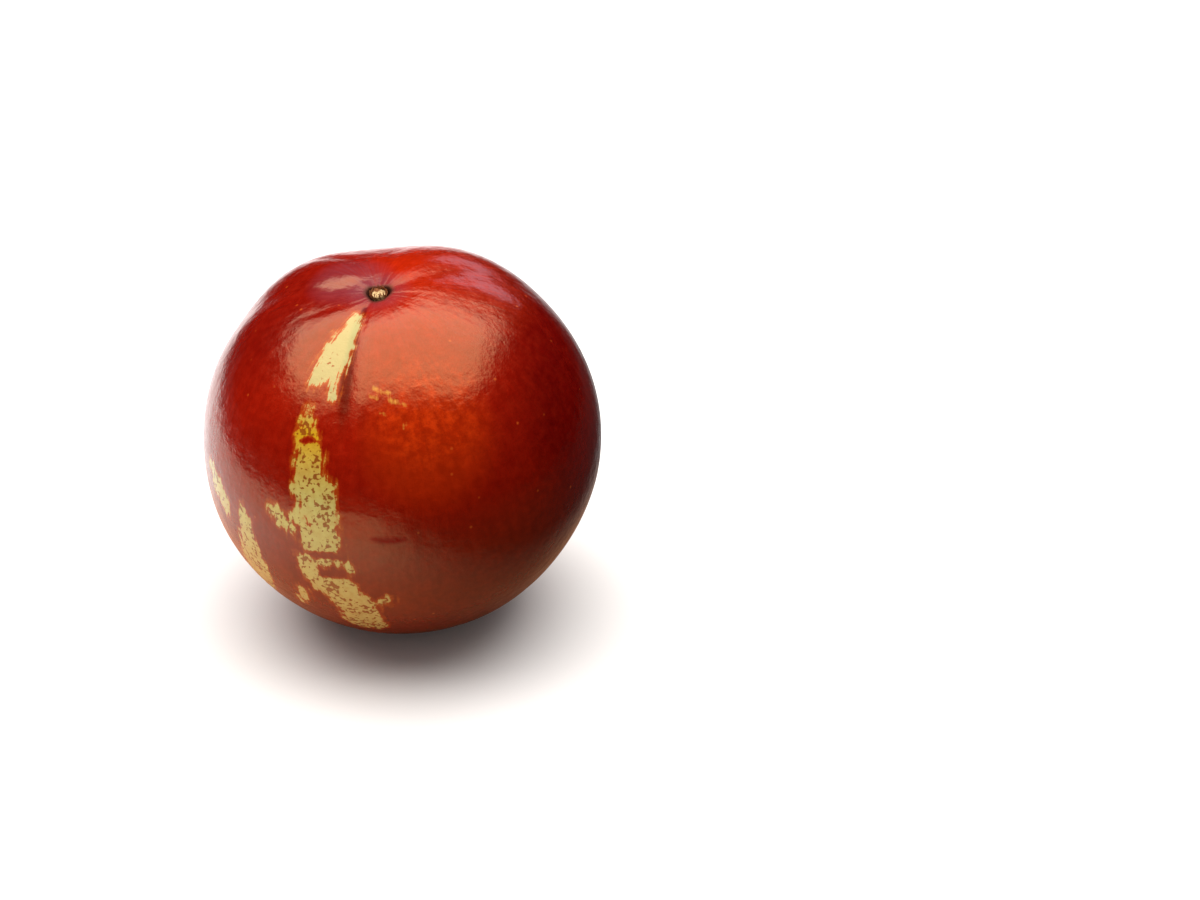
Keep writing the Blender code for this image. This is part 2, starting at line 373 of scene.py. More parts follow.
TURNED = (
    ((-122.5, 54.4, 0.12), (-118.6, 53.0, 0.30), (-114.9, 52.1, 0.32), (-111.1, 51.9, 0.12)),
    ((-116.4, 85.3, 0.25), (-112.6, 85.9, 0.50), (-108.5, 85.2, 0.50), (-103.7, 85.6, 0.30)),
    ((-122.3, 74.8, 0.14), (-121.0, 75.9, 0.26)),
    ((-118.9, 76.6, 0.24), (-117.6, 78.1, 0.30), (-117.1, 81.2, 0.22)),
    ((-115.0, 73.8, 0.16), (-113.7, 76.6, 0.26)),
)
SCARS = (
    ((-95.2, 79.0, 0.08), (-92.5, 79.5, 0.20), (-89.0, 79.8, 0.20), (-86.4, 79.7, 0.06)),
    ((40.0, 58.0, 0.05), (46.0, 60.0, 0.15)),
)
FLECKS = (
    ((-84.5, 40.4, 0.03), (-83.6, 41.0, 0.08), (-82.6, 41.2, 0.03)),
    ((-88.6, 43.6, 0.03), (-87.6, 44.2, 0.06)),
    ((-92.0, 36.6, 0.10), (-89.4, 37.2, 0.16), (-87.4, 38.0, 0.20), (-85.0, 38.2, 0.08)),
    ((-93.5, 38.8, 0.04), (-91.0, 39.4, 0.10)),
    ((-80.3, 42.1, 0.03), (-79.2, 42.6, 0.05)),
    ((-80.6, 47.7, 0.04), (-81.5, 48.9, 0.03)),
)
INTO_FRUIT = np.array(Euler(LEAN).to_matrix().inverted())  # turns a place so that the stem axis is upright


def near_stroke(points, stroke):
    """How far the stroke's line is from each unit vector's place, and its half-width there, in mm."""
    gaps = np.full(len(points), 1e3)
    halves = np.ones(len(points))
    for (turn_a, down_a, half_a), (turn_b, down_b, half_b) in zip(stroke, stroke[1:]):
        start = np.array(direction(turn_a, down_a))
        step = np.array(direction(turn_b, down_b)) - start
        share = np.clip((points - start) @ step / (step @ step), 0.0, 1.0)
        gap = np.linalg.norm(points - start - share[:, None] * step, axis=1) * ACROSS / 2 / MM
        nearer = gap < gaps
        gaps[nearer] = gap[nearer]
        halves[nearer] = (half_a + share * (half_b - half_a))[nearer]
    return gaps, halves


def distance_to_strokes(points, strokes):
    """How far each place lies outside the nearest stroke's edge, in millimetres. Inside is negative."""
    return np.min([gap - half for gap, half in (near_stroke(points, stroke) for stroke in strokes)], axis=0)


def store(mesh, name, values):
    """Stores one number for each point of a mesh, for a material to read."""
    mesh.attributes.new(name, "FLOAT", "POINT").data.foreach_set("value", values.astype(np.float32))


flat_list = np.empty(len(fruit_skin.data.vertices) * 3)
fruit_skin.data.vertices.foreach_get("co", flat_list)
in_fruit = (flat_list.reshape(-1, 3) - (0.0, 0.0, CENTRE_HEIGHT)) @ INTO_FRUIT.T
from_centre = np.linalg.norm(in_fruit, axis=1)[:, None]
in_fruit /= from_centre
print(len(PATCHES), "strokes for the patches, and", len(in_fruit), "points that they are measured from")

# %% [markdown]
# Where the skin is gathered round the stalk it folds. Each fold is a stroke too, with its depth in
# millimetres, and is pressed into the mesh. A fold gets shallower as it gets narrower, as cloth does.
# The deepest one, in front of the stalk, is stored too: its valley gets painted shade and no polish.

# %% Folds near the stem: depth in millimetres, then the line
STEM_FOLD = ((-118.0, 8.0, 0.5), (-112.0, 15.0, 0.9), (-108.5, 23.0, 1.10), (-106.8, 30.8, 1.20),
             (-105.6, 37.0, 1.3), (-104.6, 44.0, 1.2), (-103.8, 52.0, 0.8))
FOLDS = (
    (0.26, STEM_FOLD),
    (0.12, ((128.0, 8.0, 0.4), (150.0, 11.0, 1.1), (164.0, 16.0, 1.3), (170.0, 24.0, 1.2),
            (173.0, 34.0, 0.4))),
    (0.10, ((120.0, 12.0, 0.3), (132.0, 18.0, 1.0), (142.0, 25.0, 1.2), (150.0, 33.0, 0.4))),
    (0.08, ((104.0, 14.0, 0.3), (115.0, 24.0, 0.9), (123.3, 34.0, 1.0), (131.0, 44.0, 0.4))),
    (0.08, ((-150.0, 9.0, 0.3), (-158.0, 16.0, 0.8), (-163.0, 26.0, 0.3))),
)
VALLEY_WIDTH = 0.55  # as a share of the fold's
VALLEY_END = (52.0, 12.0)  # polar angle where the valley ends, and the degrees in which it fades before
pressed = np.zeros(len(in_fruit))
for depth, line in FOLDS:
    gap, half = near_stroke(in_fruit, line)
    widest = max(half_width for _, _, half_width in line)
    pressed += depth * half / widest * np.exp(-((gap / half) ** 2))
gap, half = near_stroke(in_fruit, STEM_FOLD)
down_fruit = np.degrees(np.arccos(np.clip(in_fruit[:, 2], -1.0, 1.0)))
round_fruit = np.arctan2(in_fruit[:, 1], in_fruit[:, 0])
across_valley = np.exp(-((gap / (VALLEY_WIDTH * half)) ** 4))
along_valley = np.clip((VALLEY_END[0] - down_fruit) / VALLEY_END[1], 0.0, 1.0)
store(fruit_skin.data, "valley", across_valley * along_valley)
pit_shape = 1.0 + PIT_CORNERS[2] * np.cos(PIT_CORNERS[0] * round_fruit + PIT_CORNERS[1])
store(fruit_skin.data, "pit_degrees", down_fruit * pit_shape)
folded = in_fruit * (from_centre - pressed[:, None] * MM)
placed = folded @ INTO_FRUIT + (0.0, 0.0, CENTRE_HEIGHT)
placed[:, 2] = np.maximum(placed[:, 2], 0.0)
fruit_skin.data.vertices.foreach_set("co", placed.ravel())
fruit_skin.data.update()
print("folds press the skin in by up to", round(float(pressed.max()), 2), "mm")

# %% Store how far every point is from the marks
for name, strokes in (("patch_mm", PATCHES), ("scar_mm", SCARS), ("fleck_mm", FLECKS)):
    values = distance_to_strokes(in_fruit, strokes)
    if strokes is PATCHES:
        values = np.maximum(values, -TURNED_WEIGHT * distance_to_strokes(in_fruit, TURNED))
    store(fruit_skin.data, name, values)
    print(name, "covers", round(float((values < 0).mean()) * 100, 2), "% of the points")

# %% [markdown]
# The skin is a cuticle of natural wax over red cells. That gives the eye a deep, slightly uneven red
# with a soft gloss on top, not a painted one. The material reads Object coordinates, turned by a
# Mapping node so that they stand on the fruit's own axis with the fruit's radius as 1. Pattern scales
# are worked out from millimetres on the skin.

# %% Skin: coordinates on the fruit
nodes = skin.node_tree
nodes.nodes.clear()
RADIUS = ACROSS / 2


def per_radius(millimetres):
    """The scale of a pattern whose features are that large on the skin."""
    return RADIUS / (millimetres * MM)


coords = add(nodes, "ShaderNodeTexCoord")
place = add(
    nodes,
    "ShaderNodeMapping",
    {
        "Vector": coords.outputs["Object"],
        "Location": (0.0, 0.0, CENTRE_HEIGHT),
        "Rotation": LEAN,
        "Scale": (RADIUS, RADIUS, RADIUS),
    },
    vector_type="TEXTURE",
)
x, y, z = add(nodes, "ShaderNodeSeparateXYZ", {0: place}).outputs
level = add(nodes, "ShaderNodeCombineXYZ", {0: x, 1: y})
around = add(nodes, VECTOR, {0: level}, operation="NORMALIZE")
out = add(nodes, VECTOR, {0: level}, operation="LENGTH").outputs["Value"]
polar = add(nodes, MATH, {0: out, 1: z}, operation="ARCTAN2")
polar_degrees = add(nodes, MATH, {0: polar}, operation="DEGREES")
down = add(nodes, "ShaderNodeCombineXYZ", {2: polar})
compass = add(nodes, VECTOR, {0: place}, operation="NORMALIZE")

# %% [markdown]
# The red isn't one colour. The right side is a deep mahogany, partly darker skin and partly painted
# shade, and more painted shade darkens the far shoulder. The crown round the pit is a brighter orange
# red, and the low parts are browner, partly their own colour and partly a painted reflection of the
# floor. Broad soft noise shifts between them, and fine streaks run from end to end, because the skin's
# cells are stretched that way as the fruit grows.

# %% Skin: the red of ripe skin
RIPE_RED = "#921102"
MAHOGANY = "#620301"
ORANGE_RED = "#b62c02"
# partly the low parts' own browner colour, partly a painted reflection of the floor
LOW_BROWN_AND_FLOOR_REFLECTION = "#762008"
# A region is its middle, the angles from there where it starts and where it is full, and its strength.
# painted shade: the right side is partly darker skin and partly painted shade, the far shoulder only painted
# shade
DARK_SKIN_AND_SHADE_SIDE = (direction(12.0, 72.0), 64.0, 16.0, 1.0)
SHADE_ON_FAR_SHOULDER = (direction(172.0, 32.0), 36.0, 10.0, 0.45)
CROWN = (direction(22.0, 21.0), 32.0, 12.0, 0.5)
# painted light: a warm orange glow where the highlight fades on the front, and below it
PAINTED_GLOW_UNDER_HIGHLIGHT = (direction(-71.0, 45.0), 20.0, 4.0, 0.55)
PAINTED_GLOW_FRONT = (direction(-74.0, 54.0), 23.0, 4.0, 0.55)
ORANGE_MOTTLE_ELSEWHERE = 0.05
STREAKS_ROUND = 26.0  # noise cells in one radian round the fruit
STREAKS_DOWN = 3.0  # and in one radian down it, so a streak is long and thin
VALLEY_SHADE = 0.55  # how much darker the deep fold's valley is


def region(middle, starts, full, strength):
    """A mask that rises from 0 to its strength between two angles from a middle on the fruit."""
    nearness = add(nodes, VECTOR, {0: compass, 1: middle}, operation="DOT_PRODUCT")
    edges = {"From Min": math.cos(math.radians(starts)), "From Max": math.cos(math.radians(full))}
    return add(nodes, RAMP, {"Value": nearness, "To Max": strength, **edges}, **SMOOTH)


broad = add(nodes, NOISE, {"Vector": place, "Scale": per_radius(11.0), "Detail": 3.0})
streak_place = add(nodes, VECTOR, {0: around, "Scale": STREAKS_ROUND}, operation="SCALE")
streak_down = add(nodes, VECTOR, {0: down, "Scale": STREAKS_DOWN}, operation="SCALE")
streak_place = add(nodes, VECTOR, {0: streak_place, 1: streak_down}, operation="ADD")
streaks = add(nodes, NOISE, {"Vector": streak_place, "Scale": 1.0, "Detail": 5.0, "Roughness": 0.6})
mottle = add(nodes, NOISE, {"Vector": place, "Scale": per_radius(0.9), "Detail": 4.0, "Roughness": 0.65})

# painted shade towards mahogany on the right side and the far shoulder, with random unevenness on top
dark = region(*DARK_SKIN_AND_SHADE_SIDE)
uneven = add(nodes, RAMP, {"Value": broad, "From Min": 0.3, "From Max": 0.7, "To Max": 0.35})
dark = add(nodes, MATH, {0: dark, 1: uneven}, operation="ADD")
dark = add(nodes, MATH, {0: region(*SHADE_ON_FAR_SHOULDER), 1: dark}, operation="ADD", use_clamp=True)
# lower down the red turns browner: partly own colour, partly a painted reflection of the floor
low = add(nodes, RAMP, {"Value": polar_degrees, "From Min": 62.0, "From Max": 105.0}, **SMOOTH)
red = add(nodes, MIX, {"Factor": low, "A": linear(RIPE_RED), "B": linear(LOW_BROWN_AND_FLOOR_REFLECTION)}, data_type="RGBA")
red = add(nodes, MIX, {"Factor": dark, "A": red, "B": linear(MAHOGANY)}, data_type="RGBA")

# %% Skin: the orange crown, orange mottle, a painted warm glow under the highlight, and the streaks
ragged = add(nodes, RAMP, {"Value": mottle, "From Min": 0.42, "From Max": 0.68})
# painted warm glow under the highlight, on top of the orange mottle that is the skin's own everywhere
everywhere = add(nodes, MATH, {0: region(*PAINTED_GLOW_UNDER_HIGHLIGHT), 1: ORANGE_MOTTLE_ELSEWHERE}, operation="ADD")
painted_glow_and_mottle = add(nodes, MATH, {0: everywhere, 1: ragged}, operation="MULTIPLY")
painted_glow_and_mottle = add(nodes, MATH, {0: region(*PAINTED_GLOW_FRONT), 1: painted_glow_and_mottle}, operation="ADD")
crown = add(nodes, MATH, {0: region(*CROWN), 1: streaks}, operation="MULTIPLY")
bright = add(nodes, MATH, {0: painted_glow_and_mottle, 1: crown}, operation="ADD", use_clamp=True)
red = add(nodes, MIX, {"Factor": bright, "A": red, "B": linear(ORANGE_RED)}, data_type="RGBA")
tone = add(
    nodes,
    RAMP,
    {"Value": streaks, "From Min": 0.3, "From Max": 0.7, "To Min": 0.90, "To Max": 1.08},
)
blotches = add(
    nodes,
    RAMP,
    {"Value": mottle, "From Min": 0.3, "From Max": 0.7, "To Min": 0.88, "To Max": 1.10},
)
valley = add(nodes, "ShaderNodeAttribute", attribute_name="valley").outputs["Fac"]
# painted shade in the valley of the deep fold
painted_valley_shade = add(nodes, MATH, {0: valley, 1: -VALLEY_SHADE, 2: 1.0}, operation="MULTIPLY_ADD")
tone = add(nodes, MATH, {0: tone, 1: blotches}, operation="MULTIPLY")
tone = add(nodes, MATH, {0: tone, 1: painted_valley_shade}, operation="MULTIPLY")
red = add(nodes, VECTOR, {0: red.outputs[2], "Scale": tone}, operation="SCALE")
print("the red of the skin takes", len(nodes.nodes), "nodes")

# %% [markdown]
# A patch is pale where the distance to its stroke is below zero. Noise of about a millimetre is added
# to the distance first, which frays the edge, and finer noise scatters brown specks inside, because
# the skin turns cell by cell. Broader noise gathers the specks in clusters. A thin orange fringe shows
# where the skin is turning now. The patch is cream near the stem, ochre in the middle and beige low
# down.

# %% Skin: the pale patches
CREAM = "#a89c66"
OCHRE = "#c8981a"
BEIGE = "#c6b668"
FRINGE = "#b8500e"
SPECK = "#82300c"
TOASTED = "#a8661c"
DRIPS = 1.6  # the frayed edge runs down in drips, this much finer than the streaks
distance = add(nodes, "ShaderNodeAttribute", attribute_name="patch_mm").outputs["Fac"]
fray = add(nodes, NOISE, {"Vector": place, "Scale": per_radius(1.1), "Detail": 5.0, "Roughness": 0.62})
drawn_out = add(nodes, VECTOR, {0: streak_place, "Scale": DRIPS}, operation="SCALE")
drips = add(nodes, NOISE, {"Vector": drawn_out, "Scale": 1.0, "Detail": 2.0})
fray = add(nodes, RAMP, {"Value": fray, "To Min": -1.1, "To Max": 1.1})
drips = add(nodes, RAMP, {"Value": drips, "To Min": -0.9, "To Max": 0.9})
fray = add(nodes, MATH, {0: fray, 1: drips}, operation="ADD")
edge = add(nodes, MATH, {0: distance, 1: fray}, operation="ADD")
pale = add(nodes, RAMP, {"Value": edge, "From Min": 0.14, "From Max": -0.10})
fringe = add(nodes, RAMP, {"Value": edge, "From Min": 0.65, "From Max": 0.05, "To Max": 0.6})
speckle = add(nodes, NOISE, {"Vector": place, "Scale": per_radius(0.42), "Detail": 1.2, "Roughness": 0.5})
speckled = add(
    nodes,
    RAMP,
    {"Value": polar_degrees, "From Min": 34.0, "From Max": 50.0, "To Min": 0.26, "To Max": 0.43},
)
clusters = add(nodes, NOISE, {"Vector": place, "Scale": per_radius(2.2), "Detail": 1.0})
clusters = add(nodes, RAMP, {"Value": clusters, "To Min": -0.20, "To Max": 0.22})
speckled = add(nodes, MATH, {0: speckled, 1: clusters}, operation="ADD")
specks = add(nodes, MATH, {0: speckled, 1: speckle}, operation="SUBTRACT")
specks = add(nodes, RAMP, {"Value": specks, "From Min": -0.02, "From Max": 0.05, "To Max": 0.85})
ochre_part = add(nodes, RAMP, {"Value": polar_degrees, "From Min": 40.0, "From Max": 50.0})
beige_part = add(nodes, RAMP, {"Value": polar_degrees, "From Min": 52.0, "From Max": 70.0})
patch = add(nodes, MIX, {"Factor": ochre_part, "A": linear(CREAM), "B": linear(OCHRE)}, data_type="RGBA")
patch = add(nodes, MIX, {"Factor": beige_part, "A": patch, "B": linear(BEIGE)}, data_type="RGBA")
toasted = add(nodes, RAMP, {"Value": mottle, "From Min": 0.42, "From Max": 0.66, "To Max": 0.32})
toasted = add(nodes, MATH, {0: toasted, 1: ochre_part}, operation="MULTIPLY")
patch = add(nodes, MIX, {"Factor": toasted, "A": patch, "B": linear(TOASTED)}, data_type="RGBA")
patch = add(nodes, MIX, {"Factor": specks, "A": patch, "B": linear(SPECK)}, data_type="RGBA")
colour = add(nodes, MIX, {"Factor": fringe, "A": red, "B": linear(FRINGE)}, data_type="RGBA")
colour = add(nodes, MIX, {"Factor": pale, "A": colour, "B": patch}, data_type="RGBA")
print("with its patches the skin takes", len(nodes.nodes), "nodes")

# %% [markdown]
# Small marks finish the colour: pale dots where the skin breathes, a few golden flecks, healed scars,
# a ring of painted mauve shade round the pit, which reaches further at the back, and the dark dry skin
# that lines the pit and the tip at the blossom end.

# %% Skin: flecks, breathing dots, scars and the two ends
FLECK = "#d49a3c"
FLECK_FRAY = 0.42  # how much of the patches' fraying the small flecks get
DOT = "#c4551c"
SCAR = "#7c0204"
PIT_SKIN = "#2c0906"
PIT_SHADE_MAUVE = "#742c32"
# painted shade: a mauve ring round the pit that reaches further at the back
PIT_SHADE_BACK = (direction(138.0, 12.0), 15.0, 4.0, 0.75)
fleck_distance = add(nodes, "ShaderNodeAttribute", attribute_name="fleck_mm").outputs["Fac"]
fleck_fray = add(nodes, MATH, {0: fray, 1: FLECK_FRAY, 2: fleck_distance}, operation="MULTIPLY_ADD")
flecks = add(nodes, RAMP, {"Value": fleck_fray, "From Min": 0.14, "From Max": -0.16, "To Max": 0.6})
colour = add(nodes, MIX, {"Factor": flecks, "A": colour, "B": linear(FLECK)}, data_type="RGBA")
dots = add(nodes, "ShaderNodeTexVoronoi", {"Vector": place, "Scale": per_radius(2.3), "Randomness": 1.0})
dots = add(nodes, RAMP, {"Value": dots, "From Min": 0.085, "From Max": 0.03, "To Max": 0.5})
colour = add(nodes, MIX, {"Factor": dots, "A": colour, "B": linear(DOT)}, data_type="RGBA")
scar_distance = add(nodes, "ShaderNodeAttribute", attribute_name="scar_mm").outputs["Fac"]
scars = add(nodes, RAMP, {"Value": scar_distance, "From Min": 0.35, "From Max": -0.05, "To Max": 0.8})
colour = add(nodes, MIX, {"Factor": scars, "A": colour, "B": linear(SCAR)}, data_type="RGBA")
# painted mauve shade round the pit, broken up by the streaks
pit_ring = add(
    nodes,
    RAMP,
    {"Value": polar_degrees, "From Min": 12.0, "From Max": 5.0, "To Max": 0.65},
    **SMOOTH,
)
pit_shade = add(nodes, MATH, {0: region(*PIT_SHADE_BACK), 1: pit_ring}, operation="ADD")
pit_shade_streaks = add(nodes, RAMP, {"Value": streaks, "From Min": 0.35, "From Max": 0.6, "To Min": 0.5})
pit_shade = add(nodes, MATH, {0: pit_shade, 1: pit_shade_streaks}, operation="MULTIPLY", use_clamp=True)
colour = add(nodes, MIX, {"Factor": pit_shade, "A": colour, "B": linear(PIT_SHADE_MAUVE)}, data_type="RGBA")
pit_degrees = add(nodes, "ShaderNodeAttribute", attribute_name="pit_degrees").outputs["Fac"]
in_pit = add(nodes, RAMP, {"Value": pit_degrees, "From Min": 5.2, "From Max": 3.6})
colour = add(nodes, MIX, {"Factor": in_pit, "A": colour, "B": linear(PIT_SKIN)}, data_type="RGBA")
at_tip = add(nodes, RAMP, {"Value": polar_degrees, "From Min": 176.0, "From Max": 177.6})
colour = add(nodes, MIX, {"Factor": at_tip, "A": colour, "B": linear(SPECK)}, data_type="RGBA")

# %% [markdown]
# The wax gives a soft gloss, and light that comes back through it is a little warm, so the
# reflections are tinted. The roughness wanders where the bloom was rubbed off, and the pit is dull.
# The valley of the deep fold, the scars, the ring round the pit and the crown right behind the pit have
# little wax left and mirror almost nothing. Micro relief, too fine to model, bends the reflections:
# dimples of 1.4 mm, grain of half a millimetre, and the same lengthwise streaks as in the colour.

# %% Skin: gloss and micro relief
DULL_CROWN = (direction(60.0, 14.0), 11.0, 4.0, 0.75)
WAX_IOR = 1.60  # wax alone has about 1.45, but this matches how strongly the fruit mirrors
POLISH = 0.5  # specular level of waxed skin
WORN = 0.42  # how much of that is lost where the wax is gone
PIT_ROUGHNESS = 0.45  # added to the roughness in the pit
WARM_WAX = "#ffc484"
gloss = add(nodes, RAMP, {"Value": mottle, "From Min": 0.3, "From Max": 0.7, "To Min": 0.15, "To Max": 0.25})
gloss = add(nodes, MATH, {0: in_pit, 1: PIT_ROUGHNESS, 2: gloss}, operation="MULTIPLY_ADD")
grain = add(nodes, NOISE, {"Vector": place, "Scale": per_radius(0.5), "Detail": 4.0})
dimples = add(nodes, NOISE, {"Vector": place, "Scale": per_radius(1.4), "Detail": 3.0, "Roughness": 0.6})
relief = None
for pattern, height in ((streaks, 0.005 * MM), (dimples, 0.085 * MM), (grain, 0.006 * MM)):
    below = {"Normal": relief} if relief else {}
    relief = add(nodes, "ShaderNodeBump", {"Height": pattern, "Distance": height, "Strength": 1.0, **below})
unpolished = valley
for bare in (scars, pit_ring, region(*DULL_CROWN)):
    unpolished = add(nodes, MATH, {0: unpolished, 1: bare}, operation="MAXIMUM")
polish = add(nodes, MATH, {0: unpolished, 1: -WORN, 2: POLISH}, operation="MULTIPLY_ADD")
shader = add(
    nodes,
    "ShaderNodeBsdfPrincipled",
    {
        "Base Color": colour,
        "Roughness": gloss,
        "IOR": WAX_IOR,
        "Specular IOR Level": polish,
        "Specular Tint": linear(WARM_WAX),
        "Normal": relief,
    },
)
add(nodes, "ShaderNodeOutputMaterial", {"Surface": shader})
print("skin material has", len(nodes.nodes), "nodes")

# %% [markdown]
# The stub is what stays when the stalk is pulled off: a short woody peg, torn at its end, with a ring
# of bark and pale pith inside. It is less than 2 mm across, but the pit draws the eye to it. The core
# is a cylinder that noise roughens, a darker knob of bark stands behind it, and torn fibres stand
# round both. Fibres repeat, so Geometry Nodes places them, each with its own lean and length from a
# fixed seed.

# %% The stub tree: inputs, core and knob
STUB = (("Radius", 0.80 * MM), ("Height", 0.55 * MM), ("Fibres", 30), ("Seed", 7))
CORE = (0.80, (0.08 * MM, -0.22 * MM, -0.04 * MM))  # its share of the stub's radius, and its place
KNOB = (0.42, (-0.12 * MM, 0.34 * MM, 0.0))
TEAR_SIZE = 0.22 * MM
TEAR_REACH = 0.34 * MM
bark = bpy.data.materials.new("dry_torn_bark")
pith = bpy.data.materials.new("pale_dry_pith")
stub = bpy.data.node_groups.new("Torn stub", "GeometryNodeTree")
for label, value in STUB:
    kind = "NodeSocketInt" if isinstance(value, int) else "NodeSocketFloat"
    stub.interface.new_socket(label, in_out="INPUT", socket_type=kind)
stub.interface.new_socket("Geometry", in_out="OUTPUT", socket_type="NodeSocketGeometry")
given = add(stub, "NodeGroupInput").outputs
core_radius = add(stub, MATH, {0: given["Radius"], 1: CORE[0]}, operation="MULTIPLY")
core = add(
    stub,
    "GeometryNodeMeshCylinder",
    {
        "Vertices": 48,
        "Side Segments": 10,
        "Fill Segments": 8,
        "Radius": core_radius,
        "Depth": given["Height"],
    },
)
knob_radius = add(stub, MATH, {0: given["Radius"], 1: KNOB[0]}, operation="MULTIPLY")
knob = add(stub, "GeometryNodeMeshIcoSphere", {"Radius": knob_radius, "Subdivisions": 5})
point = add(stub, "GeometryNodeInputPosition")
rough = add(stub, NOISE, {"Vector": point, "Scale": 1 / TEAR_SIZE, "Detail": 3.0})
rough = add(stub, VECTOR, {0: rough.outputs["Color"], 1: (0.5, 0.5, 0.5)}, operation="SUBTRACT")
rough = add(stub, VECTOR, {0: rough, "Scale": TEAR_REACH}, operation="SCALE")
torn = []
for lump, where, tissue in ((core, CORE[1], pith), (knob, KNOB[1], bark)):
    lump = add(stub, "GeometryNodeTransform", {"Geometry": lump, "Translation": where})
    lump = add(stub, "GeometryNodeSetPosition", {"Geometry": lump, "Offset": rough})
    torn.append(add(stub, "GeometryNodeSetMaterial", {"Geometry": lump, "Material": tissue}))

# %% The stub tree: fibres, each a thin five-sided cone
LEANS = ((-0.35, -0.35, 0.0), (0.35, 0.35, 6.28))  # radians: a little to each side, and turned any way
SIZES = ((0.7, 0.9, 0.55), (1.3, 1.6, 1.35))  # shares of the blade's width, thickness and length
ring = add(stub, "GeometryNodeMeshCircle", {"Vertices": given["Fibres"], "Radius": given["Radius"]})
blade = add(
    stub,
    "GeometryNodeMeshCone",
    {
        "Vertices": 5,
        "Side Segments": 4,
        "Radius Top": 0.02 * MM,
        "Radius Bottom": 0.10 * MM,
        "Depth": given["Height"],
    },
)
lean, length = (
    add(
        stub,
        "FunctionNodeRandomValue",
        {"Min": least, "Max": most, "Seed": given["Seed"]},
        data_type="FLOAT_VECTOR",
    )
    for least, most in (LEANS, SIZES)
)
fibres = add(
    stub,
    "GeometryNodeInstanceOnPoints",
    {"Points": ring, "Instance": blade, "Rotation": lean, "Scale": length},
)
fibres = add(stub, "GeometryNodeSetMaterial", {"Geometry": fibres, "Material": bark})
whole = add(stub, "GeometryNodeJoinGeometry")
for part in (*torn, fibres):
    stub.links.new(part.outputs[0], whole.inputs[0])
add(stub, "NodeGroupOutput", {"Geometry": add(stub, "GeometryNodeRealizeInstances", {"Geometry": whole})})
stub_torn = grow("stub_torn", stub, dict(STUB))

# %% [markdown]
# The stub is made upright at the origin, and its place goes into its mesh: up to the pit's floor with
# a small gap, then leaning as the fruit does.

# %% Place the stub in the pit
low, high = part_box("stalk_stub")
stub_middle = (low + high) / 2
stub_torn.data.transform(Matrix.Translation(stub_middle) @ Euler(LEAN).to_matrix().to_4x4())
print("the stub's middle is", round(stub_middle[2] / MM, 2), "mm above the table")

# %% Stub: bark and pith
for material, first, second, size in ((bark, "#602810", "#b06a30", 0.15), (pith, "#8a6230", "#dcbc86", 0.25)):
    material.use_nodes = True
    nodes = material.node_tree
    nodes.nodes.clear()
    coords = add(nodes, "ShaderNodeTexCoord")
    noise = add(nodes, NOISE, {"Vector": coords.outputs["Object"], "Scale": 1 / (size * MM), "Detail": 4.0})
    mix = add(nodes, MIX, {"Factor": noise, "A": linear(first), "B": linear(second)}, data_type="RGBA")
    bump = add(nodes, "ShaderNodeBump", {"Height": noise, "Distance": 0.05 * MM})
    shader = add(nodes, "ShaderNodeBsdfPrincipled", {"Base Color": mix, "Roughness": 0.8, "Normal": bump})
    add(nodes, "ShaderNodeOutputMaterial", {"Surface": shader})
    print(material.name, "goes from", first, "to", second)

# %% [markdown]
# The studio is a white table top under one large soft light, with white all round. The camera sees the
# paper as it is, shaded by the fruit close by and burnt out to white further off.

# %% Studio: the paper that the camera sees
FLOOR_REACH = 3.0
FLOOR_DROP = 0.02 * MM  # keeps the paper just clear of the flat spot
FLOOR_CORNERS = ((-1, -1), (1, -1), (1, 1), (-1, 1))
BURNT_OUT = {"From Min": 0.10, "From Max": 0.45}  # metres from the fruit
PAPER_WHITE = "#e9e4e0"
floor_mesh = bpy.data.meshes.new("table_top")
floor = bpy.data.objects.new("table_top", floor_mesh)
bpy.context.scene.collection.objects.link(floor)
corner_places = [(x * FLOOR_REACH, y * FLOOR_REACH, -FLOOR_DROP) for x, y in FLOOR_CORNERS]
floor_mesh.from_pydata(corner_places, [], [(0, 1, 2, 3)])
paper = bpy.data.materials.new("white_paper")
paper.use_nodes = True
nodes = paper.node_tree
nodes.nodes.clear()
coords = add(nodes, "ShaderNodeTexCoord")
reach = add(nodes, VECTOR, {0: coords.outputs["Object"]}, operation="LENGTH").outputs["Value"]
far = add(nodes, RAMP, {"Value": reach, **BURNT_OUT}, **SMOOTH)
near_paper = add(nodes, "ShaderNodeBsdfDiffuse", {"Color": linear(PAPER_WHITE)})
far_paper = add(nodes, "ShaderNodeEmission", {"Color": linear(WHITE), "Strength": 1.0})
seen_paper = add(nodes, "ShaderNodeMixShader", {0: far, 1: near_paper, 2: far_paper})
print("the table top is", 2 * FLOOR_REACH, "m wide")

# %% [markdown]
# Glossy skin shows what stands round it, and plain white paper all round would wash the red out. So the
# fruit mirrors another paper in the same place. Close to the fruit it is tinted with painted red bounce
# light, it gets darker to the right, and it ends a hand's width away, except behind the fruit, where it
# runs on twice as far and lights the rim. The Light Path node tells the camera's rays from all others.

